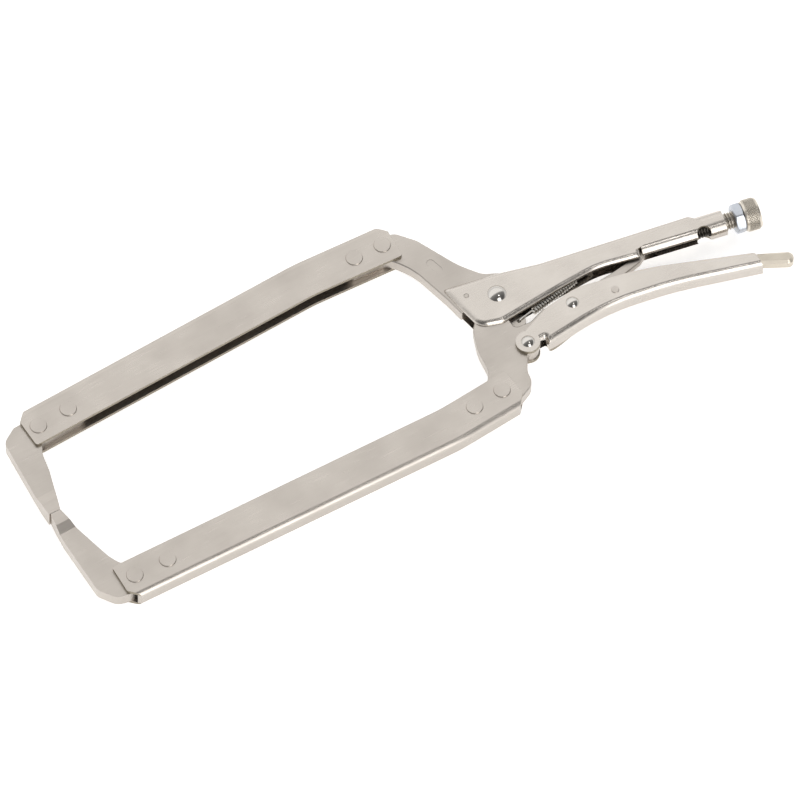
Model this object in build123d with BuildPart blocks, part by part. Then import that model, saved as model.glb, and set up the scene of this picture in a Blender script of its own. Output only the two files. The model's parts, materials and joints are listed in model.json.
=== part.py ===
"""Deep-reach locking C clamp, shut and locked, lying in its own mid-plane.

Millimetres. The origin is the middle of the fixed contact face, +X runs along the arms towards
the handles, +Y points to the fixed side and +Z stands on the mid-plane of the plates.
"""

from build123d import *
import math
import os

os.makedirs("parts", exist_ok=True)

# ---- driving dimensions -------------------------------------------------------------------
throat_depth = 310.5        # contact faces to the main pivot, along X
pivot_drop = 6.0            # main pivot below the contact faces, along Y
arm_width = 26.0            # width of each arm's flanges
fixed_plate_t = 9.0         # jaw plates on the fixed side
moving_plate_t = 8.8        # jaw plates on the moving side, which turn between flanges
pad_t = 12.5                # jaw tips, at the contact
arm_sheet_t = 2.2
handle_sheet_t = 2.4
fold_r = 3.5                # outside radius of every fold
shut_gap = 0.3              # between the contact faces, so that they never overlap
flange_gap = 9.0            # between the two flanges of either handle

screw_tilt = -11.5          # the screw's direction, in degrees from +X
screw_r = 5.55              # 7/16-14 thread
running = 0.07              # radial clearance of every pivot and of the screw
thread_shown = 6.2          # screw between the barrel and the lock nut
nut_across_flats = 17.5
nut_t = 6.2
nut_turn = 21.0             # of the nut's corners, round the screw, in degrees
knob_r = 10.25
knob_length = 10.2
knob_socket = 7.4           # depth of the knob's hole
barrel_width = 16.4         # in the mid-plane
barrel_t = 13.7             # square to the mid-plane
barrel_length = 55.0
slot_width = 5.8            # slot along the barrel, on the side of the lower handle
slot_end = 14.6             # from the barrel's mouth to the middle of the slot's round end
slot_end_drop = 6.2         # of that middle below the screw's axis
slot_end_r = 4.4
web_bend = -117.4           # where the upper handle's web turns along the screw
web_height = 7.5            # from the screw's axis up to the web, at that place
web_rise = 0.0147           # slope of the web away from the screw's axis

# ---- pivots, in the mid-plane ---------------------------------------------------------------
main_pivot = (throat_depth, -pivot_drop)
handle_pivot = (309.1, -45.0)      # lower handle on the moving jaw
toggle_pivot = (346.8, -35.1)      # toggle link on the lower handle
lever_pivot = (373.9, -40.9)       # release lever in the lower handle
spring_ear = (313.5, -27.0)        # spring hole in the moving jaw
spring_anchor_at = (372.5, -15.9)  # spring hole in the fixed handle
barrel_end = (457.9, -30.54)       # mouth of the barrel, on the screw's axis
link_reach = 51.4                  # from the barrel's mouth back to the toggle link's free end
link_clearance = 2.1               # between the link's end and the screw's tip

# ---- arms: points on the free edges, front to rear ------------------------------------------
fixed_arm_line = [(14.5, 46.0), (215.0, 51.1), (275.2, 47.4)]
moving_arm_line = [(9.8, -51.9), (238.5, -58.7), (286.2, -55.4)]
arm_bend_r = 120.0
arm_corner = 6.8            # cut off each end of the web
web_rear_slope = 0.06       # of the web's cut rear corner

fixed_tip_rivets_at = [(22.3, 57.2), (44.0, 58.3)]
fixed_rear_rivets_at = [(248.8, 60.8), (268.2, 59.9)]
moving_tip_rivets_at = [(18.9, -63.8), (41.6, -64.6)]
moving_rear_rivets_at = [(257.2, -68.0), (277.6, -66.5)]
frame_pin_at = [(293.6, 2.2)]

# ---- rivets -----------------------------------------------------------------------------------
arm_rivet_r = 3.5
arm_rivet_head_r = 5.35
arm_rivet_head_t = 0.7
main_shank_r = 4.0
main_head_r = 5.8
main_head_h = 2.4
handle_shank_r = 2.8
handle_head_r = 4.2
handle_head_h = 1.9
toggle_shank_r = 2.6
toggle_head_r = 4.0
toggle_head_h = 1.8
lever_shank_r = 1.9
lever_head_r = 2.5
lever_head_t = 0.5
frame_pin_r = 1.6
rivet_bevel = 25            # side of a flat rivet head, in degrees

arm_outer = fixed_plate_t + 2 * arm_sheet_t
moving_arm_outer = moving_plate_t + 2 * arm_sheet_t
handle_outer = flange_gap + 2 * handle_sheet_t

tilt = math.radians(screw_tilt)
screw_dir = (math.cos(tilt), math.sin(tilt), 0)


def on_screw(along, across=0.0):
    """Point at a distance from the barrel's mouth along the screw's axis, and across it."""
    x = barrel_end[0] + along * math.cos(tilt) - across * math.sin(tilt)
    y = barrel_end[1] + along * math.sin(tilt) + across * math.cos(tilt)
    return (x, y)


def on_web(along, inwards=0.0):
    """Point on the upper handle's web, over a place on the screw's axis, and inwards from it."""
    return on_screw(along, web_height + web_rise * (along - web_bend) - inwards)


def screw_plane(along):
    """Plane square to the screw, facing outwards, with its local Y in the clamp's mid-plane."""
    x, y = on_screw(along)
    return Plane(origin=(x, y, 0), x_dir=(0, 0, 1), z_dir=screw_dir)


def slab(points, radii, thickness, mode=Mode.ADD, bevel=0.0):
    """Plate with this outline and these corner radii, centred on the mid-plane."""
    with BuildSketch(Plane.XY.offset(-thickness / 2)) as outline:
        with BuildLine():
            FilletPolyline(*points, radius=radii, close=True)
        make_face()
    extrude(outline.sketch, amount=thickness, mode=mode)
    if bevel:
        chamfer(faces().filter_by(Plane.XY).edges(), bevel)


def disc(centre, radius, thickness, mode=Mode.ADD):
    """Round plate or hole, centred on the mid-plane."""
    with BuildSketch(Plane.XY.offset(-thickness / 2)) as outline:
        with Locations(centre):
            Circle(radius)
    extrude(outline.sketch, amount=thickness, mode=mode)


def rod_along_screw(radius, start, length, mode=Mode.ADD):
    """Cylinder on the screw's axis."""
    with BuildSketch(screw_plane(start)) as section:
        Circle(radius)
    extrude(section.sketch, amount=length, mode=mode)


def parallel_line(line, distance):
    """Line of three points moved sideways, to its left if distance is positive."""
    moved = []
    for i, (x, y) in enumerate(line):
        before = line[max(i - 1, 0)]
        after = line[min(i + 1, len(line) - 1)]
        run = math.hypot(after[0] - before[0], after[1] - before[1])
        moved.append((x - distance * (after[1] - before[1]) / run,
                      y + distance * (after[0] - before[0]) / run))
    return moved


def fold_edges(line, z):
    """Edges of the active part at height z whose middle lies near the line."""
    path = Wire([Edge.make_line((*a, z), (*b, z)) for a, b in zip(line, line[1:])])

    def on_line(edge):
        middle = edge.position_at(0.5)
        return abs(middle.Z - z) < 0.01 and path.distance_to(Vertex(*middle)) < 1.6

    return edges().filter_by(on_line)


def fold(line, outer):
    """Rounds both outside corners of a folded sheet along its web."""
    for z in (outer / 2, -outer / 2):
        fillet(fold_edges(line, z), fold_r)


def flat_rivets(places, head_r, head_t, shank_r, grip):
    """Rivets with flat, bevelled heads on both sides of the grip."""
    for place in places:
        disc(place, shank_r, grip)
        for side in (1, -1):
            with BuildSketch(Plane.XY.offset(side * grip / 2)) as head:
                with Locations(place):
                    Circle(head_r)
            extrude(head.sketch, amount=side * head_t, taper=rivet_bevel)


def domed_rivet(place, head_r, head_h, shank_r, grip):
    """Rivet with a round head on both sides of the grip."""
    ball_r = (head_r ** 2 + head_h ** 2) / (2 * head_h)
    half = grip / 2
    midway = math.asin(head_r / ball_r) / 2
    dome_x = ball_r * math.sin(midway)
    dome_y = half + head_h - ball_r * (1 - math.cos(midway))
    upright = Plane(origin=(place[0], place[1], 0), x_dir=(1, 0, 0), z_dir=(0, -1, 0))
    with BuildSketch(upright) as section:
        with BuildLine():
            Polyline((0, half + head_h), (0, -half - head_h))
            ThreePointArc((0, -half - head_h), (dome_x, -dome_y), (head_r, -half))
            Polyline((head_r, -half), (shank_r, -half), (shank_r, half), (head_r, half))
            ThreePointArc((head_r, half), (dome_x, dome_y), (0, half + head_h))
        make_face()
    revolve(section.sketch, axis=Axis((place[0], place[1], 0), (0, 0, 1)))


def arm_channel(line, side, gap):
    """Folded channel. line is its free edge, and side is where its web stands from that line."""
    web = parallel_line(line, side * arm_width)
    near_web = parallel_line(line, side * (arm_width - arm_corner))
    inside = parallel_line(line, side * (arm_width - arm_sheet_t))
    web_front = (web[0][0] + arm_corner, web[0][1])
    web_rear = (web[2][0] - arm_corner, web[2][1] + side * web_rear_slope * arm_corner)
    outer = gap + 2 * arm_sheet_t
    slab([line[0], line[1], line[2], near_web[2], web_rear, web[1], web_front, near_web[0]],
         [1.5, arm_bend_r, 1.5, 1.0, 0, arm_bend_r, 0, 1.0], outer)
    fold([web_front, web[1], web_rear], outer)
    beyond = arm_width
    front_slope = (inside[1][1] - inside[0][1]) / (inside[1][0] - inside[0][0])
    rear_slope = (inside[2][1] - inside[1][1]) / (inside[2][0] - inside[1][0])
    hollow = [(inside[0][0] - beyond, inside[0][1] - beyond * front_slope), inside[1],
              (inside[2][0] + beyond, inside[2][1] + beyond * rear_slope)]
    clear = hollow[0][1] - side * 2 * arm_width
    slab([*hollow, (hollow[2][0], clear), (hollow[0][0], clear)], [0, arm_bend_r, 0, 0, 0],
         gap, Mode.SUBTRACT)


# ---- fixed side -------------------------------------------------------------------------------

# Fixed jaw tip: its tang lies between the arm's flanges, and its end swells into the contact pad.
fixed_tip_outline = [
    (-4.0, 0), (4.0, 0), (8.3, 13.3), (12.6, 27.4), (15.0, 40.0), (19.5, 48.2), (53.5, 50.0),
    (53.5, 66.8), (9.0, 64.6), (-1.0, 58.5), (-4.2, 15.4)]
fixed_tip_radii = [0.4, 0.4, 0, 30, 20, 6, 6, 6, 4, 6, 0]
pad_length = 8.5
pad_ramp = 6.0


def jaw_tip(outline, radii, plate_t, shut, along):
    """Plate that thickens on both sides: flat next to the contact, then a ramp to plate_t."""
    slab(outline, radii, pad_t)
    flat_end = shut + along * pad_length
    ramp_end = flat_end + along * pad_ramp
    far = ramp_end + along * 90
    for side in (1, -1):
        with BuildSketch(Plane.YZ.offset(-20)) as relief:
            with BuildLine():
                Polyline((flat_end, side * pad_t / 2), (ramp_end, side * plate_t / 2),
                         (far, side * plate_t / 2), (far, side * pad_t),
                         (flat_end, side * pad_t), close=True)
            make_face()
        extrude(relief.sketch, amount=120, mode=Mode.SUBTRACT)


with BuildPart() as fixed_jaw_tip:
    jaw_tip(fixed_tip_outline, fixed_tip_radii, fixed_plate_t, 0, 1)
    for place in fixed_tip_rivets_at:
        disc(place, arm_rivet_r, pad_t, Mode.SUBTRACT)
fixed_jaw_tip.part.label = "fixed_jaw_tip"
export_step(fixed_jaw_tip.part, "parts/fixed_jaw_tip.step")

# Fixed arm: a U channel, open towards the throat.
with BuildPart() as fixed_arm:
    arm_channel(fixed_arm_line, 1, fixed_plate_t)
    for place in fixed_tip_rivets_at + fixed_rear_rivets_at:
        disc(place, arm_rivet_r, arm_outer, Mode.SUBTRACT)
fixed_arm.part.label = "fixed_arm"
export_step(fixed_arm.part, "parts/fixed_arm.step")

# Fixed jaw frame: solid plate from the arm into the upper handle, cut round the main pivot.
frame_cut_r = 14.0
badge_length = 11.8         # oval recess on both faces
badge_width = 5.0
badge_depth = 0.25
cut_start = math.radians(175)
cut_end = math.radians(38)


def round_pivot(angle):
    """Point of the frame's cut-out round the main pivot."""
    return (main_pivot[0] + frame_cut_r * math.cos(angle),
            main_pivot[1] + frame_cut_r * math.sin(angle))


with BuildPart() as fixed_jaw_frame:
    slab([(240.5, 52.5), (266.0, 51.0), (276.0, 37.0), (283.0, 7.4), (285.3, -5.6),
          round_pivot(cut_start), (300.0, -2.0), (311.0, 4.5), (320.5, 2.0), (320.5, 7.2),
          (311.0, 12.0), (301.6, 25.0), (289.0, 53.0), (279.5, 65.0), (240.5, 68.6)],
         [5, 12, 50, 60, 1, 0, 0, 0, 0, 0, 14, 60, 12, 8, 5], fixed_plate_t, bevel=0.6)
    disc(main_pivot, frame_cut_r, fixed_plate_t, Mode.SUBTRACT)
    for place in fixed_rear_rivets_at:
        disc(place, arm_rivet_r, fixed_plate_t, Mode.SUBTRACT)
    for place in frame_pin_at:
        disc(place, frame_pin_r, fixed_plate_t, Mode.SUBTRACT)
    for side in (1, -1):
        badge = Plane(origin=(288.5, 31.5, side * fixed_plate_t / 2),
                      x_dir=(-0.24, 0.97, 0), z_dir=(0, 0, side))
        with BuildSketch(badge):
            SlotOverall(badge_length, badge_width)
        extrude(amount=-badge_depth, mode=Mode.SUBTRACT)
fixed_jaw_frame.part.label = "fixed_jaw_frame"
export_step(fixed_jaw_frame.part, "parts/fixed_jaw_frame.step")

# Upper handle: folded sheet, open towards the lower handle, rolled into a barrel at the rear.
web_line = [(321.0, 6.8), on_web(web_bend), on_web(-22.0)]
web_inside = [(321.0, 4.3), on_web(web_bend, handle_sheet_t), on_web(-barrel_length, handle_sheet_t)]

with BuildPart() as fixed_handle:
    slab([(283.6, 14.5), (286.3, -4.0), (289.4, -20.6), (303.2, -25.2), (345.0, -22.6),
          (373.0, -21.6), on_screw(-57.2, -9.2), on_screw(-55.4, -3.4), on_screw(-52.0, -2.4),
          on_screw(-14.0, -2.4), on_screw(-14.0, 2.0), *web_line[::-1]],
         [1.5, 0, 9, 9, 60, 60, 1.5, 0, 0, 0, 0, 0, 30, 0], handle_outer)
    fold(web_line, handle_outer)
    with BuildSketch(screw_plane(-barrel_length)) as barrel:
        SlotOverall(barrel_width, barrel_t, rotation=90)
    extrude(barrel.sketch, amount=barrel_length)
    slab([(270.0, 40.0), (320.7, 40.0), *web_inside, on_screw(-barrel_length, -25.0),
          (270.0, -50.0)], [0, 0, 0, 30, 0, 0, 0], flange_gap, Mode.SUBTRACT)
    rod_along_screw(screw_r + running, -barrel_length - 1, barrel_length + 2, Mode.SUBTRACT)
    slab([on_screw(-barrel_length - 1, -2.0), on_screw(-slot_end, -2.0),
          on_screw(-slot_end, -barrel_width), on_screw(-barrel_length - 1, -barrel_width)],
         [0, 0, 0, 0], slot_width, Mode.SUBTRACT)
    disc(on_screw(-slot_end, -slot_end_drop), slot_end_r, handle_outer, Mode.SUBTRACT)
    disc(main_pivot, main_shank_r, handle_outer, Mode.SUBTRACT)
    for place in frame_pin_at:
        disc(place, frame_pin_r, handle_outer, Mode.SUBTRACT)
fixed_handle.part.label = "fixed_handle"
export_step(fixed_handle.part, "parts/fixed_handle.step")

# Spring anchor: a tab that hangs from the inside of the handle's web.
anchor_t = 2.0
anchor_hole_r = 1.3
anchor_along = -86.6        # on the screw's axis
anchor_root = 3.5           # half of its width at the web
anchor_end = 2.8            # half of its width at the free end
with BuildPart() as spring_anchor:
    slab([on_web(anchor_along - anchor_root, handle_sheet_t),
          on_screw(anchor_along - anchor_end, -3.2), on_screw(anchor_along + anchor_end, -3.2),
          on_web(anchor_along + anchor_root, handle_sheet_t)], [0, 2.6, 2.6, 0], anchor_t)
    disc(spring_anchor_at, anchor_hole_r, anchor_t, Mode.SUBTRACT)
spring_anchor.part.label = "spring_anchor"
export_step(spring_anchor.part, "parts/spring_anchor.step")

# Main pivot: rivet through both flanges of the upper handle and the moving jaw.
with BuildPart() as main_pivot_rivet:
    domed_rivet(main_pivot, main_head_r, main_head_h, main_shank_r, handle_outer)
main_pivot_rivet.part.label = "main_pivot_rivet"
export_step(main_pivot_rivet.part, "parts/main_pivot_rivet.step")

# Staked pin that ties the frame to the upper handle.
with BuildPart() as frame_pin:
    disc(frame_pin_at[0], frame_pin_r, handle_outer)
    chamfer(frame_pin.edges().filter_by(GeomType.CIRCLE), 0.25)
frame_pin.part.label = "frame_pin"
export_step(frame_pin.part, "parts/frame_pin.step")


# ---- moving side ------------------------------------------------------------------------------

moving_tip_outline = [
    (-2.9, -shut_gap), (3.9, -shut_gap), (6.6, -17.2), (12.7, -43.3), (15.9, -50.0),
    (20.0, -54.2), (51.0, -55.3), (51.0, -73.6), (8.0, -72.6), (2.0, -70.6), (-5.3, -60.0),
    (-5.5, -18.5)]
moving_tip_radii = [0.4, 0.4, 0, 30, 12, 6, 6, 6, 8, 8, 8, 60]

with BuildPart() as moving_jaw_tip:
    jaw_tip(moving_tip_outline, moving_tip_radii, moving_plate_t, -shut_gap, -1)
    for place in moving_tip_rivets_at:
        disc(place, arm_rivet_r, pad_t, Mode.SUBTRACT)
moving_jaw_tip.part.label = "moving_jaw_tip"
export_step(moving_jaw_tip.part, "parts/moving_jaw_tip.step")

with BuildPart() as moving_arm:
    arm_channel(moving_arm_line, -1, moving_plate_t)
    for place in moving_tip_rivets_at + moving_rear_rivets_at:
        disc(place, arm_rivet_r, moving_arm_outer, Mode.SUBTRACT)
moving_arm.part.label = "moving_arm"
export_step(moving_arm.part, "parts/moving_arm.step")

# Moving jaw frame: a lobe round the main pivot, an ear round the handle's pivot, a thin ear for
# the spring and a tang in the moving arm.
lobe_r = 13.0
handle_ear_r = 7.0
spring_ear_r = 4.5
spring_ear_t = 3.0
spring_hole_r = 1.3

with BuildPart() as moving_jaw_frame:
    slab([(298.0, -9.0), (290.0, -14.0), (285.1, -19.7), (280.0, -34.0), (278.3, -50.0),
          (270.0, -60.0), (243.5, -60.4), (243.5, -76.4), (285.0, -76.6), (297.5, -71.0),
          (298.5, -62.0), (305.3, -51.0), (313.0, -50.6), (332.5, -33.0), (331.0, -28.2),
          (318.5, -32.5), (308.0, -31.5), (308.0, -22.5), (322.5, -11.5)],
         [0, 10, 6, 30, 12, 8, 5, 5, 9, 9, 12, 5, 6, 1.5, 1.5, 4, 3, 3, 0], moving_plate_t, bevel=0.5)
    disc(main_pivot, lobe_r, moving_plate_t)
    disc(handle_pivot, handle_ear_r, moving_plate_t)
    disc(spring_ear, spring_ear_r, spring_ear_t)
    slab([(306.0, -33.0), (314.0, -33.0), (316.5, -27.0), (314.0, -21.0), (306.0, -21.0)],
         [0, 0, 0, 0, 0], spring_ear_t)
    disc(spring_ear, spring_hole_r, spring_ear_t, Mode.SUBTRACT)
    disc(main_pivot, main_shank_r + running, moving_plate_t, Mode.SUBTRACT)
    disc(handle_pivot, handle_shank_r + running, moving_plate_t, Mode.SUBTRACT)
    for place in moving_rear_rivets_at:
        disc(place, arm_rivet_r, moving_plate_t, Mode.SUBTRACT)
moving_jaw_frame.part.label = "moving_jaw_frame"
export_step(moving_jaw_frame.part, "parts/moving_jaw_frame.step")

# Rivets of the arms, two to a node.
arm_rivets = {
    "fixed_arm_tip_rivets": (fixed_tip_rivets_at, arm_outer),
    "fixed_arm_rear_rivets": (fixed_rear_rivets_at, arm_outer),
    "moving_arm_tip_rivets": (moving_tip_rivets_at, moving_arm_outer),
    "moving_arm_rear_rivets": (moving_rear_rivets_at, moving_arm_outer),
}
for name, (places, grip) in arm_rivets.items():
    with BuildPart() as rivets:
        flat_rivets(places, arm_rivet_head_r, arm_rivet_head_t, arm_rivet_r, grip)
    rivets.part.label = name
    export_step(rivets.part, "parts/" + name + ".step")


# ---- lower handle and what it carries ---------------------------------------------------------

lower_web = [(320.4, -51.7), (364.0, -47.6), (408.0, -55.6), (461.0, -72.0)]
lower_nose_r = 7.6

with BuildPart() as lower_handle:
    slab([(308.5, -39.0), (331.0, -30.2), (354.0, -27.2), (396.0, -36.3), (461.0, -62.3),
          *lower_web[::-1], (320.4, -47.6), (313.5, -47.6)],
         [0, 12, 40, 200, 2, 0, 250, 150, 0, 1.0, 0], handle_outer)
    disc(handle_pivot, lower_nose_r, handle_outer)
    fold(lower_web, handle_outer)
    slab([(290.0, -62.0), (320.2, -62.0), (320.2, -49.3), (364.0, -45.2), (408.0, -53.1),
          (475.0, -73.9), (475.0, -15.0), (290.0, -15.0)],
         [0, 0, 0, 150, 250, 0, 0, 0], flange_gap, Mode.SUBTRACT)
    disc(handle_pivot, handle_shank_r, handle_outer, Mode.SUBTRACT)
    disc(toggle_pivot, toggle_shank_r, handle_outer, Mode.SUBTRACT)
    disc(lever_pivot, lever_shank_r, handle_outer, Mode.SUBTRACT)
lower_handle.part.label = "lower_handle"
export_step(lower_handle.part, "parts/lower_handle.step")

with BuildPart() as handle_pivot_rivet:
    domed_rivet(handle_pivot, handle_head_r, handle_head_h, handle_shank_r, handle_outer)
handle_pivot_rivet.part.label = "handle_pivot_rivet"
export_step(handle_pivot_rivet.part, "parts/handle_pivot_rivet.step")

with BuildPart() as toggle_pivot_rivet:
    domed_rivet(toggle_pivot, toggle_head_r, toggle_head_h, toggle_shank_r, handle_outer)
toggle_pivot_rivet.part.label = "toggle_pivot_rivet"
export_step(toggle_pivot_rivet.part, "parts/toggle_pivot_rivet.step")

with BuildPart() as release_lever_rivet:
    flat_rivets([lever_pivot], lever_head_r, lever_head_t, lever_shank_r, handle_outer)
release_lever_rivet.part.label = "release_lever_rivet"
export_step(release_lever_rivet.part, "parts/release_lever_rivet.step")

# Toggle link: from the lower handle up to the tip of the adjusting screw.
link_t = 5.0
link_eye_r = 5.4
link_nose_r = 4.0
link_nose = on_screw(-link_reach)
with BuildPart() as toggle_link:
    slab([(346.3, -40.4), (380.0, -33.3), (399.0, -29.5), (410.5, -23.0), (408.0, -16.3),
          (403.6, -18.6), (396.0, -25.2), (378.0, -27.4), (346.5, -29.7)],
         [0, 30, 8, 0, 0, 0, 8, 40, 0], link_t, bevel=0.4)
    disc(toggle_pivot, link_eye_r, link_t)
    disc(link_nose, link_nose_r, link_t)
    disc(toggle_pivot, toggle_shank_r + running, link_t, Mode.SUBTRACT)
toggle_link.part.label = "toggle_link"
export_step(toggle_link.part, "parts/toggle_link.step")

# Release lever: lies in the lower handle, and its round-nosed tail stands out behind it.
lever_t = 8.2
lever_eye_r = 4.4
with BuildPart() as release_lever:
    slab([(374.0, -45.2), (396.0, -46.7), (440.0, -61.4), (459.5, -68.2), (479.0, -79.0),
          (483.0, -71.4), (462.5, -61.2), (440.0, -54.6), (397.0, -38.6), (386.0, -33.6),
          (374.0, -36.6)],
         [0, 60, 60, 60, 3.8, 3.8, 60, 60, 6, 4, 0], lever_t, bevel=1.8)
    disc(lever_pivot, lever_eye_r, lever_t)
    disc(lever_pivot, lever_shank_r + running, lever_t, Mode.SUBTRACT)
release_lever.part.label = "release_lever"
export_step(release_lever.part, "parts/release_lever.step")


# ---- adjusting screw --------------------------------------------------------------------------

screw_tip = -link_reach + link_nose_r + link_clearance
nut_start = thread_shown
knob_start = nut_start + nut_t

with BuildPart() as adjusting_screw:
    rod_along_screw(screw_r, screw_tip, knob_start + knob_socket - screw_tip)
    chamfer(adjusting_screw.edges().filter_by(GeomType.CIRCLE), 0.9)
adjusting_screw.part.label = "adjusting_screw"
export_step(adjusting_screw.part, "parts/adjusting_screw.step")

with BuildPart() as lock_nut:
    with BuildSketch(screw_plane(nut_start)):
        RegularPolygon(nut_across_flats / 2, 6, major_radius=False, rotation=nut_turn)
    extrude(amount=nut_t)
    with BuildSketch(screw_plane(nut_start)) as rounding:
        Circle(nut_across_flats * 0.56)
    extrude(rounding.sketch, amount=nut_t, mode=Mode.INTERSECT)
    rod_along_screw(screw_r + running, nut_start - 1, nut_t + 2, Mode.SUBTRACT)
lock_nut.part.label = "lock_nut"
export_step(lock_nut.part, "parts/lock_nut.step")

with BuildPart() as screw_knob:
    rod_along_screw(knob_r, knob_start, knob_length)
    chamfer(screw_knob.edges().filter_by(GeomType.CIRCLE), 1.1)
    rod_along_screw(screw_r + running, knob_start - 1, knob_socket + 1.3, Mode.SUBTRACT)
screw_knob.part.label = "screw_knob"
export_step(screw_knob.part, "parts/screw_knob.step")


# ---- spring -----------------------------------------------------------------------------------

# Extension spring from the moving jaw's ear to the anchor, as a plain sleeve with two stems.
spring_r = 2.6
spring_wire_r = 0.5
spring_from = Vector(*spring_ear, 0)
spring_to = Vector(*spring_anchor_at, 0)
spring_dir = (spring_to - spring_from).normalized()
spring_length = (spring_to - spring_from).length
stem_start = 5.3            # from the ear's hole
stem_end = 4.1              # from the anchor's hole
coil_start = 11.5
coil_end = 14.0

with BuildPart() as jaw_spring:
    for start, end, radius in ((stem_start, stem_end, spring_wire_r),
                               (coil_start, coil_end, spring_r)):
        length = spring_length - start - end
        place = spring_from + spring_dir * start
        with BuildSketch(Plane(origin=place, x_dir=(0, 0, 1), z_dir=spring_dir)) as section:
            Circle(radius)
        extrude(section.sketch, amount=length)
jaw_spring.part.label = "jaw_spring"
export_step(jaw_spring.part, "parts/jaw_spring.step")
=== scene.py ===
"""Locking C clamp, shut and lying on its side: nickel plated steel on a pale studio floor."""

import json
import math

import bmesh
import bpy
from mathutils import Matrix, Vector


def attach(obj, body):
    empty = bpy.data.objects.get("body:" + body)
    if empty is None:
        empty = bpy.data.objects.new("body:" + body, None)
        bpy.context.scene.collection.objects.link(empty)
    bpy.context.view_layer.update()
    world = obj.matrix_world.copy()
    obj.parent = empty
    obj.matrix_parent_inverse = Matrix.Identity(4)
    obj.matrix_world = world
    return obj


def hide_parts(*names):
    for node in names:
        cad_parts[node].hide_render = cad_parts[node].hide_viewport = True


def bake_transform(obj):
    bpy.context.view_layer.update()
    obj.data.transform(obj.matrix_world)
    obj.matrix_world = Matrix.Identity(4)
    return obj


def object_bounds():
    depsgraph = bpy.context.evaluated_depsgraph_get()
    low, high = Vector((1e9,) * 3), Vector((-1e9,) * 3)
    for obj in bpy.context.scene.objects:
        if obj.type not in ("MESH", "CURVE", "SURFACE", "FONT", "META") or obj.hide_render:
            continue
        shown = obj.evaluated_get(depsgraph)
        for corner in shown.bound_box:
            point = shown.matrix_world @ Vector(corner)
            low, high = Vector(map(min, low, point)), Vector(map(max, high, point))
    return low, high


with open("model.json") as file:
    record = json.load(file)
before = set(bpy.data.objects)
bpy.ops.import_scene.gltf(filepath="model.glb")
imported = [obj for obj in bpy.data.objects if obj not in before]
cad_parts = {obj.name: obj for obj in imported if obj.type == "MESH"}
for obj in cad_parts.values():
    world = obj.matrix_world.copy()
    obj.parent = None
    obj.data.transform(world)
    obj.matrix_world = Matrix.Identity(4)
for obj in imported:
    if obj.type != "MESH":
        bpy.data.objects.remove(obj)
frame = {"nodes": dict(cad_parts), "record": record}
cad_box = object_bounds()
nodes = frame["nodes"]
joints = {joint["name"]: joint for joint in frame["record"]["behaviour"]["joints"]}

# ---- sizes, in metres -----------------------------------------------------------------------
MM = 0.001
WELD = 0.004 * MM            # points nearer than this become one
SLIVER = 0.001 * MM          # shorter edges are dissolved
THREAD_PITCH = 1.814 * MM
THREAD_DEPTH = 0.95 * MM
THREAD_STEPS = 40            # round the screw
THREAD_PROFILE = ((0.0, 0), (0.18, 0), (0.5, 1), (0.68, 1))    # share of the pitch, share of the depth
KNURL_STARTS = 36
KNURL_PITCH = 1.8 * MM
KNURL_DEPTH = 0.7 * MM
KNOB_EDGE = 0.9 * MM         # rounded edges of the knob
KNOB_DIMPLE = 1.4 * MM       # centre mark left by turning
NUT_HALF_WIDTH = 8.75 * MM
NUT_FLAT_STEPS = 12          # round each flat of the nut
NUT_BEVEL = math.radians(30)
NUT_FACE_R = 8.2 * MM
NUT_TURN = 21                # degrees round the screw
HOLE_BEVEL = 0.6 * MM
SOCKET_ROOM = 0.3 * MM       # between the screw's end and the bottom of the knob's socket
WIRE_R = 0.62 * MM
WIRE_SIDES = 10
COIL_R = 2.15 * MM           # to the middle of the wire, and of each hook
COIL_PITCH = 1.85 * MM
COIL_STEPS = 28              # round each turn
STEM_AT_EAR = 10.0 * MM      # from the jaw's hole to the first turn
STEM_AT_TAB = 12.0 * MM      # from the last turn to the handle's hole
BEND_RUN = 3.0 * MM          # where a stem bends into the coil
BEND_STEPS = 8
HOOK_END = 1.2 * MM          # straight end of each hook
HOOK_STEPS = 12              # round the half turn of each hook
EAR_HOLE = Vector((0.3135, -0.0270, 0.0))    # in the moving jaw's frame
TAB_HOLE = Vector((0.3725, -0.0159, 0.0))    # in the fixed handle's tab

# ---- view -----------------------------------------------------------------------------------
VIEW_AZIMUTH = -31           # degrees
VIEW_ELEVATION = 59          # degrees
VIEW_WIDTH = 0.488
VIEW_DISTANCE = 14.0
VIEW_CENTRE = Vector((0.2227, -0.0371, 0.0))
SENSOR_MM = 36

# ---- light ----------------------------------------------------------------------------------
FLOOR_HALF_WIDTH = 8.0
FLOOR_GAP = 0.02 * MM        # between the clamp and the floor
FLOOR_GLOW = 0.6
LAMP_DISTANCE = 2.0
HORIZON_LIGHT = (0.9, 0.9, 0.9, 1)
HORIZON_FADE = (0.28, 0.42)  # sines of the heights between which the horizon's light ends


# ---- meshes ---------------------------------------------------------------------------------

def add_mesh(name, points, faces, smooth_below):
    """Mesh object without doubled points. Edges sharper than smooth_below degrees stay sharp."""
    mesh = bpy.data.meshes.new(name)
    mesh.from_pydata(points, [], faces)
    shape = bmesh.new()
    shape.from_mesh(mesh)
    bmesh.ops.remove_doubles(shape, verts=shape.verts, dist=WELD)
    bmesh.ops.dissolve_degenerate(shape, edges=shape.edges, dist=SLIVER)
    bmesh.ops.recalc_face_normals(shape, faces=shape.faces)
    shape.to_mesh(mesh)
    shape.free()
    mesh.shade_smooth()
    mesh.set_sharp_from_angle(angle=math.radians(smooth_below))
    obj = bpy.data.objects.new(name, mesh)
    bpy.context.scene.collection.objects.link(obj)
    return obj


def square_to(direction):
    """Two unit directions square to this one and to each other."""
    first = Vector((0, 0, 1)).cross(direction).normalized()
    return first, direction.cross(first)


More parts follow.
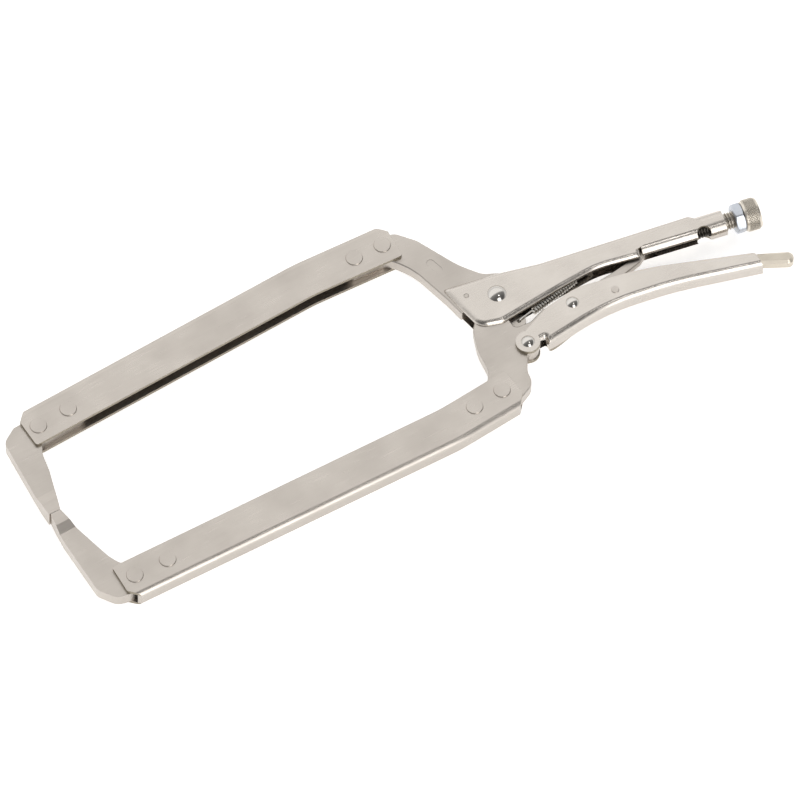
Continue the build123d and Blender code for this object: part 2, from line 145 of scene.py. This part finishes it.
def screw_axis():
    """A point on the adjusting screw's axis and the axis's direction, outwards."""
    spin = joints["knob_spin"]
    return Vector(spin["pos_m"]), Vector(spin["axis"]).normalized()


def extent_along(node, origin, direction):
    """Lowest and highest place of a CAD node along a line."""
    places = [(vertex.co - origin).dot(direction) for vertex in nodes[node].data.vertices]
    return min(places), max(places)


def radii(node, origin, direction):
    """Smallest and largest distance of a CAD node's points from a line."""
    away = [(vertex.co - origin).cross(direction).length for vertex in nodes[node].data.vertices]
    return min(away), max(away)


def loft(name, rows, origin, direction, smooth_below, lead=0):
    """Skin over rows of (radius, along) pairs, one row for each angle round the line.

    The last row joins the first one lead pairs further on, which makes a screw of it.
    """
    side, up = square_to(direction)
    size = len(rows[0])
    points = []
    for i, row in enumerate(rows):
        angle = 2 * math.pi * i / len(rows)
        spoke = side * math.cos(angle) + up * math.sin(angle)
        points += [origin + direction * along + spoke * radius for radius, along in row]
    faces = []
    for i in range(len(rows)):
        last = i == len(rows) - 1
        here = i * size
        there = 0 if last else here + size
        shift = lead if last else 0
        faces += [(here + k, there + k + shift, there + k + shift + 1, here + k + 1)
                  for k in range(size - 1 - shift)]
    return add_mesh(name, points, faces, smooth_below)


def screw_thread():
    """Right-hand thread over the whole adjusting screw, bevelled at both ends."""
    origin, direction = screw_axis()
    low, high = extent_along("adjusting_screw", origin, direction)
    outer = radii("adjusting_screw", origin, direction)[1]
    turns = math.ceil((high - low) / THREAD_PITCH) + 2
    rows = []
    for i in range(THREAD_STEPS):
        row = [(0, low)] * 4
        for turn in range(-1, turns):
            for share, depth in THREAD_PROFILE:
                along = low + (turn + share + i / THREAD_STEPS) * THREAD_PITCH
                along = min(max(along, low), high)
                room = min(along - low, high - along)
                row.append((outer - max(depth * THREAD_DEPTH, THREAD_DEPTH - room), along))
        rows.append(row + [(0, high)] * 4)
    return loft("screw_thread", rows, origin, direction, 35, len(THREAD_PROFILE))


def knurled_knob():
    """Knob with a diamond knurl between its rounded edges, open at the back for the screw."""
    origin, direction = screw_axis()
    low, high = extent_along("screw_knob", origin, direction)
    bore, outer = radii("screw_knob", origin, direction)
    bottom = extent_along("adjusting_screw", origin, direction)[1] + SOCKET_ROOM
    root = outer - KNURL_DEPTH
    rise = KNURL_PITCH / 4
    knurl_rows = int((high - low - 2 * KNOB_EDGE) / rise)
    edge = (high - low - knurl_rows * rise) / 2
    arc = [math.radians(angle) for angle in range(0, 90, 15)]
    back_edge = [(root - edge + edge * math.sin(a), low + edge - edge * math.cos(a)) for a in arc]
    front_edge = [(radius, low + high - along) for radius, along in reversed(back_edge)]
    rows = []
    for i in range(4 * KNURL_STARTS):
        row = [(0, bottom), (bore, bottom), (bore, low + HOLE_BEVEL), (bore + HOLE_BEVEL, low)]
        row += back_edge
        for j in range(knurl_rows + 1):
            height = min(1 - abs(2 * (slant / 4 % 1) - 1) for slant in (i + j, i - j))
            fade = min(1, j / 2, (knurl_rows - j) / 2)
            row.append((root + KNURL_DEPTH * height * fade, low + edge + j * rise))
        rows.append(row + front_edge + [(KNOB_DIMPLE, high), (0, high - KNOB_DIMPLE / 2)])
    return loft("knurled_knob", rows, origin, direction, 25)


def hex_nut():
    """Hexagon nut, bevelled round both faces and round its hole."""
    origin, direction = screw_axis()
    low, high = extent_along("lock_nut", origin, direction)
    hole, corner = radii("lock_nut", origin, direction)
    steps = 6 * NUT_FLAT_STEPS
    rows = []
    for i in range(steps):
        from_flat = math.radians((360 * i / steps - NUT_TURN + 30) % 60 - 30)
        edge = min(NUT_HALF_WIDTH / math.cos(from_flat), corner)
        drop = (edge - NUT_FACE_R) * math.tan(NUT_BEVEL)
        rows.append([(hole, low + HOLE_BEVEL), (hole + HOLE_BEVEL, low), (NUT_FACE_R, low),
                     (edge, low + drop), (edge, high - drop), (NUT_FACE_R, high),
                     (hole + HOLE_BEVEL, high), (hole, high - HOLE_BEVEL),
                     (hole, low + HOLE_BEVEL)])
    return loft("hex_nut", rows, origin, direction, 20)


def tube(name, path, radius, sides):
    """Round wire along a path of points, closed at both ends."""
    points = [path[0]]
    normal = Vector((0, 0, 1))
    for i, place in enumerate(path):
        run = (path[min(i + 1, len(path) - 1)] - path[max(i - 1, 0)]).normalized()
        normal = (normal - run * normal.dot(run)).normalized()
        other = run.cross(normal)
        for k in range(sides):
            angle = 2 * math.pi * k / sides
            points.append(place + (normal * math.cos(angle) + other * math.sin(angle)) * radius)
    points.append(path[-1])
    end = len(points) - 1
    faces = []
    for k in range(sides):
        turned = (k + 1) % sides
        faces.append((0, 1 + turned, 1 + k))
        faces.append((end, end - sides + k, end - sides + turned))
        faces += [(1 + i * sides + k, 1 + i * sides + turned, 1 + (i + 1) * sides + turned,
                   1 + (i + 1) * sides + k) for i in range(len(path) - 1)]
    return add_mesh(name, points, faces, 60)


def stem_and_hook(from_hole):
    """(along, height) places of one end of the spring, from the hook's tip to the straight stem."""
    hook = [(COIL_R + HOOK_END, -COIL_R)]
    for step in range(HOOK_STEPS + 1):
        angle = -math.pi / 2 - math.pi * step / HOOK_STEPS
        hook.append((COIL_R + COIL_R * math.cos(angle), COIL_R * math.sin(angle)))
    return hook + [(from_hole, COIL_R)]


def coil_bend(steps):
    """(along, angle) places where a stem bends into the coil, over a quarter turn."""
    rate = COIL_PITCH / 2
    return [(BEND_RUN * t - (BEND_RUN - rate) * t * t / 2, math.pi / 2 * t * t)
            for t in (step / steps for step in range(1, steps + 1))]


def hooked_spring():
    """Extension spring from the moving jaw's ear to the tab in the fixed handle."""
    direction = (TAB_HOLE - EAR_HOLE).normalized()
    side = direction.cross(Vector((0, 0, 1)))
    length = (TAB_HOLE - EAR_HOLE).length
    bend = coil_bend(BEND_STEPS)
    coil_start = STEM_AT_EAR + bend[-1][0]
    coil_length = length - STEM_AT_TAB - bend[-1][0] - coil_start
    turns = round(coil_length / COIL_PITCH) + 0.5
    turned = [(STEM_AT_EAR + along, angle) for along, angle in bend]
    count = int(turns * COIL_STEPS)
    turned += [(coil_start + coil_length * i / count, math.pi / 2 + 2 * math.pi * turns * i / count)
               for i in range(1, count + 1)]
    last_angle = turned[-1][1] + math.pi / 2
    turned += [(length - STEM_AT_TAB - along, last_angle - angle)
               for along, angle in reversed(bend[:-1])]
    path = [EAR_HOLE + direction * along + Vector((0, 0, height))
            for along, height in stem_and_hook(STEM_AT_EAR)]
    path += [EAR_HOLE + direction * along
             + (side * math.sin(angle) + Vector((0, 0, math.cos(angle)))) * COIL_R
             for along, angle in turned]
    path += [TAB_HOLE - direction * along + Vector((0, 0, height))
             for along, height in reversed(stem_and_hook(STEM_AT_TAB))]
    return tube("hooked_spring", path, WIRE_R, WIRE_SIDES)


# ---- materials ------------------------------------------------------------------------------

def add_node(tree, kind, inputs, **settings):
    """Shader node with its settings, and its inputs linked or set."""
    node = tree.nodes.new("ShaderNode" + kind)
    for key, value in settings.items():
        setattr(node, key, value)
    for key, value in inputs.items():
        if isinstance(value, bpy.types.NodeSocket):
            tree.links.new(value, node.inputs[key])
        else:
            node.inputs[key].default_value = value
    return node


def scaled(tree, value, low, high, new_low, new_high):
    """Value taken from one range to another, and held inside it."""
    inputs = {"Value": value, "From Min": low, "From Max": high,
              "To Min": new_low, "To Max": new_high}
    return add_node(tree, "MapRange", inputs).outputs["Result"]


def mixed(tree, factor, first, second):
    """Colour between two colours."""
    mix = add_node(tree, "Mix", {0: factor, 6: first, 7: second}, data_type="RGBA")
    return mix.outputs[2]


def maths(tree, operation, first, second):
    """Result of one sum."""
    return add_node(tree, "Math", {0: first, 1: second}, operation=operation).outputs[0]


def noise(tree, coordinates, scale, detail=4.0, stretch=(1, 1, 1), turn=0.0):
    """Noise from 0 to 1, stretched along the direction that turn gives."""
    place = add_node(tree, "Mapping", {"Vector": coordinates, "Rotation": (0, 0, -turn),
                                       "Scale": stretch})
    inputs = {"Vector": place.outputs[0], "Scale": scale, "Detail": detail}
    return add_node(tree, "TexNoise", inputs).outputs[0]


# Dark tone painted into recesses, thread roots and channel insides as shade.
PAINTED_SHADE_TONE = (0.075, 0.06, 0.043, 1)
BARE_EDGE = (0.86, 0.83, 0.78, 1)
GREASE = (0.03, 0.026, 0.022, 1)
SHEARED = (0.34, 0.30, 0.23, 1)
FLANGE_FROM = 4.4 * MM       # height of the flanges' inner faces over the mid-plane


def plated(name, colour, shade, roughness, grain_turn=0.0, grain=0.25, mottle=0.5, wear=0.3,
           painted_shade=0.8, edge_r=0.2 * MM, reach=9 * MM, open_below=0.65, greased_to=None,
           sheared=False):
    """Nickel or zinc plated steel.

    Colour and shade are its light and dark tones. It has a rolled grain along grain_turn, a cloudy
    plating, fine scratches, brighter worn edges of about edge_r, and painted shade: a dark tone, up to
    painted_shade strong, with duller plating, where less than open_below of the surroundings within
    reach is open. It can be greased up to a place along X, and have the dull sheared edges of a sheet.
    """
    material = bpy.data.materials.new(name)
    material.use_nodes = True
    tree = material.node_tree
    shader = tree.nodes["Principled BSDF"]
    shader.inputs["Metallic"].default_value = 1.0
    shader.inputs["Specular IOR Level"].default_value = 0.5
    place = add_node(tree, "TexCoord", {}).outputs["Object"]
    split = add_node(tree, "SeparateXYZ", {0: place})

    clouds = noise(tree, place, 42, 5)
    blotches = noise(tree, place, 210, 3)
    rolled = noise(tree, place, 1.0, 3, (70, 2600, 2600), grain_turn)
    speckle = noise(tree, place, 3200, 2)
    scratch_a = noise(tree, place, 1.0, 1, (45, 1500, 1500), grain_turn + 0.5)
    scratch_b = noise(tree, place, 1.0, 1, (60, 1900, 1900), grain_turn - 0.9)
    scratches = maths(tree, "MAXIMUM", scaled(tree, scratch_a, 0.72, 0.76, 0, 1),
                      scaled(tree, scratch_b, 0.73, 0.77, 0, 1))

    bevel = add_node(tree, "Bevel", {"Radius": edge_r}, samples=4).outputs[0]
    face = add_node(tree, "NewGeometry", {}).outputs["Normal"]
    same = add_node(tree, "VectorMath", {0: bevel, 1: face}, operation="DOT_PRODUCT")
    edges = maths(tree, "MULTIPLY", scaled(tree, same.outputs["Value"], 0.99, 0.85, 0, 1),
                  scaled(tree, blotches, 0.35, 0.65, 0.4, 1))
    # Painted shade: ambient occlusion darkens the colour towards a dark tone where the surroundings
    # close in.
    shelter = add_node(tree, "AmbientOcclusion", {"Distance": reach}, samples=6, only_local=True)
    shade_mask = scaled(tree, shelter.outputs["AO"], open_below, open_below - 0.5, 0, painted_shade)

    toned = mixed(tree, scaled(tree, clouds, 0.3, 0.7, 0, mottle), colour, shade)
    lined = mixed(tree, scaled(tree, rolled, 0.3, 0.7, 0, 0.25), toned, shade)
    with_painted_shade = mixed(tree, shade_mask, lined, PAINTED_SHADE_TONE)
    worn = mixed(tree, maths(tree, "MULTIPLY", edges, wear), with_painted_shade, BARE_EDGE)
    if sheared:
        flange = scaled(tree, maths(tree, "ABSOLUTE", split.outputs["Z"], 0.0),
                        FLANGE_FROM, FLANGE_FROM + 0.1 * MM, 0, 1)
        tilt = add_node(tree, "SeparateXYZ", {0: face}).outputs["Z"]
        upright = scaled(tree, maths(tree, "ABSOLUTE", tilt, 0.0), 0.2, 0.35, 0.85, 0)
        cut = maths(tree, "MULTIPLY", flange, upright)
        worn = mixed(tree, cut, worn, SHEARED)
    if greased_to:
        unevenness = scaled(tree, blotches, 0.3, 0.7, 0, 2 * MM)
        smeared = maths(tree, "ADD", split.outputs["X"], unevenness)
        grease = scaled(tree, smeared, greased_to - 2 * MM, greased_to, 0.9, 0)
        worn = mixed(tree, grease, worn, GREASE)
    tree.links.new(worn, shader.inputs["Base Color"])

    cloudy = maths(tree, "ADD", scaled(tree, clouds, 0.3, 0.7, roughness - 0.05, roughness + 0.05),
                   scaled(tree, rolled, 0.3, 0.7, -0.03, 0.03))
    scored = maths(tree, "SUBTRACT", cloudy, maths(tree, "MULTIPLY", scratches, 0.12))
    rubbed = maths(tree, "SUBTRACT", scored, maths(tree, "MULTIPLY", edges, 0.12))
    dulled = maths(tree, "ADD", rubbed, maths(tree, "MULTIPLY", shade_mask, 0.35))
    if sheared:
        dulled = maths(tree, "MAXIMUM", dulled, maths(tree, "MULTIPLY", cut, 0.75))
    tree.links.new(dulled, shader.inputs["Roughness"])

    pits = maths(tree, "ADD", maths(tree, "MULTIPLY", speckle, 0.6),
                 maths(tree, "MULTIPLY", scratches, -0.8))
    relief = maths(tree, "ADD", rolled, pits)
    bump = add_node(tree, "Bump", {"Height": relief, "Strength": grain, "Distance": 0.02 * MM,
                                   "Normal": bevel})
    tree.links.new(bump.outputs[0], shader.inputs["Normal"])
    return material


def pale_floor():
    """Matt studio paper, faintly uneven, with a glow of its own."""
    material = bpy.data.materials.new("studio_paper")
    material.use_nodes = True
    tree = material.node_tree
    shader = tree.nodes["Principled BSDF"]
    shader.inputs["Roughness"].default_value = 0.9
    shader.inputs["Specular IOR Level"].default_value = 0.1
    shader.inputs["Emission Color"].default_value = (1, 1, 1, 1)
    shader.inputs["Emission Strength"].default_value = FLOOR_GLOW
    place = add_node(tree, "TexCoord", {}).outputs["Object"]
    tone = scaled(tree, noise(tree, place, 9, 3), 0.3, 0.7, 0, 1)
    tree.links.new(mixed(tree, tone, (0.93, 0.93, 0.93, 1), (0.95, 0.95, 0.95, 1)),
                   shader.inputs["Base Color"])
    return material


ARM_TURN = math.radians(-1)         # the sheets' rolled grain, round Z
HANDLE_TURN = math.radians(-12)
SATIN = (0.57, 0.525, 0.475, 1)
SATIN_SHADE = (0.505, 0.46, 0.415, 1)

finishes = {
    "nickel_plate": plated("nickel_plate", SATIN, SATIN_SHADE, 0.36, HANDLE_TURN),
    "nickel_arm_sheet": plated("nickel_arm_sheet", SATIN, SATIN_SHADE, 0.32, ARM_TURN,
                               sheared=True),
    "nickel_handle_sheet": plated("nickel_handle_sheet", (0.63, 0.585, 0.535, 1),
                                  (0.57, 0.525, 0.475, 1), 0.25, HANDLE_TURN, mottle=0.4,
                                  wear=0.1, sheared=True),
    "nickel_flat_rivet": plated("nickel_flat_rivet", SATIN, SATIN_SHADE, 0.34, grain=0.2),
    "bright_rivet": plated("bright_rivet", (0.66, 0.63, 0.59, 1), (0.59, 0.56, 0.52, 1), 0.12,
                           grain=0.08, mottle=0.3, painted_shade=0.4),
    # The spring wire's pale colour is partly painted light: it is raised so the coil looks lit inside
    # the shaded channel, and the coil gets less painted shade.
    "spring_wire": plated("spring_wire", (0.95, 0.93, 0.88, 1), (0.85, 0.82, 0.77, 1), 0.42,
                          grain=0.1, painted_shade=0.2, edge_r=0.1 * MM),
    "lever_steel": plated("lever_steel", (0.66, 0.60, 0.51, 1), (0.57, 0.515, 0.43, 1), 0.4,
                          HANDLE_TURN),
    "screw_thread": plated("screw_thread", (0.66, 0.61, 0.54, 1), (0.52, 0.48, 0.42, 1), 0.26,
                           grain=0.1, edge_r=0.1 * MM, reach=1.2 * MM, open_below=0.9,
                           greased_to=0.4565),
    "zinc_nut": plated("zinc_nut", (0.56, 0.585, 0.625, 1), (0.46, 0.485, 0.53, 1), 0.33,
                       grain=0.4, mottle=0.9),
    "knurled_knob": plated("knurled_knob", (0.78, 0.72, 0.63, 1), (0.66, 0.605, 0.52, 1), 0.36,
                           grain=0.1, wear=0.6, edge_r=0.05 * MM, reach=1.0 * MM,
                           open_below=0.95),
}


# ---- the clamp ------------------------------------------------------------------------------

def finish_piece(piece, body, node, slot):
    """New piece in place of one CAD node, with its finish."""
    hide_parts(node)
    piece.data.materials.append(finishes[slot])
    if body:
        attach(piece, body)


for subpart in frame["record"]["subparts"]:
    node = nodes[subpart["node"]]
    if not node.material_slots:
        node.data.materials.append(None)
    for material_slot in node.material_slots:
        material_slot.material = finishes[subpart["material_slot"]]

finish_piece(screw_thread(), "screw_rod", "adjusting_screw", "screw_thread")
finish_piece(knurled_knob(), "screw_knob", "screw_knob", "knurled_knob")
finish_piece(hex_nut(), "lock_nut", "lock_nut", "zinc_nut")
spring = hooked_spring()
finish_piece(spring, None, "jaw_spring", "spring_wire")
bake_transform(spring)


# ---- studio ---------------------------------------------------------------------------------

def add_floor():
    """Plain floor that the clamp lies on."""
    reach = FLOOR_HALF_WIDTH
    height = cad_box[0].z - FLOOR_GAP
    corners = [(x * reach, y * reach, height) for x, y in ((-1, -1), (1, -1), (1, 1), (-1, 1))]
    floor = add_mesh("floor", corners, [(0, 1, 2, 3)], 30)
    floor.data.materials.append(pale_floor())


def add_softbox(name, azimuth, elevation, size, radiance):
    """Rectangular lamp that faces the clamp."""
    lamp = bpy.data.lights.new(name, "AREA")
    lamp.shape = "RECTANGLE"
    lamp.size, lamp.size_y = size
    lamp.energy = radiance * math.pi * size[0] * size[1]
    obj = bpy.data.objects.new(name, lamp)
    back = direction_from(azimuth, elevation)
    obj.location = VIEW_CENTRE + back * LAMP_DISTANCE
    obj.rotation_mode = "QUATERNION"
    obj.rotation_quaternion = (-back).to_track_quat("-Z", "Y")
    bpy.context.scene.collection.objects.link(obj)


def direction_from(azimuth, elevation):
    """Unit direction from the clamp. Azimuth 0 is towards -Y, and it grows towards +X."""
    a = math.radians(azimuth)
    e = math.radians(elevation)
    return Vector((math.sin(a) * math.cos(e), -math.cos(a) * math.cos(e), math.sin(e)))


def add_world():
    """Soft room: bright behind the clamp and near the floor, dim overhead, pale where it is seen."""
    world = bpy.data.worlds.new("studio")
    bpy.context.scene.world = world
    world.use_nodes = True
    tree = world.node_tree
    direction = add_node(tree, "TexCoord", {}).outputs["Generated"]
    split = add_node(tree, "SeparateXYZ", {0: direction})
    ramp = add_node(tree, "ValToRGB", {"Fac": scaled(tree, split.outputs["Y"], -1, 1, 0, 1)})
    tones = [(0.0, 0.12), (0.28, 0.14), (0.45, 0.22), (0.59, 0.32), (0.66, 1.2), (1.0, 1.2)]
    stops = ramp.color_ramp.elements
    while len(stops) < len(tones):
        stops.new(0.5)
    for stop, (position, tone) in zip(stops, tones):
        stop.position = position
        stop.color = (tone, tone, tone, 1)
    near_floor = scaled(tree, split.outputs["Z"], HORIZON_FADE[1], HORIZON_FADE[0], 0, 1)
    room = mixed(tree, near_floor, ramp.outputs[0], HORIZON_LIGHT)
    seen = add_node(tree, "LightPath", {}).outputs["Is Camera Ray"]
    tree.links.new(mixed(tree, seen, room, (1, 1, 1, 1)),
                   tree.nodes["Background"].inputs["Color"])


def add_camera():
    """Long lens from the front left, above the clamp."""
    back = direction_from(VIEW_AZIMUTH, VIEW_ELEVATION)
    lens = bpy.data.cameras.new("camera")
    lens.sensor_width = SENSOR_MM
    lens.lens = SENSOR_MM * VIEW_DISTANCE / VIEW_WIDTH
    lens.clip_start = 0.1
    lens.clip_end = 50
    camera = bpy.data.objects.new("camera", lens)
    camera.location = VIEW_CENTRE + back * VIEW_DISTANCE
    camera.rotation_mode = "QUATERNION"
    camera.rotation_quaternion = (-back).to_track_quat("-Z", "Y")
    bpy.context.scene.collection.objects.link(camera)
    bpy.context.scene.camera = camera


add_floor()
add_world()
add_softbox("front_box", 2, 30, (1.0, 2.1), 2.5)
add_softbox("upper_box", 50, 71, (0.25, 0.3), 4.5)
add_camera()
bpy.context.scene.view_settings.view_transform = "Standard"
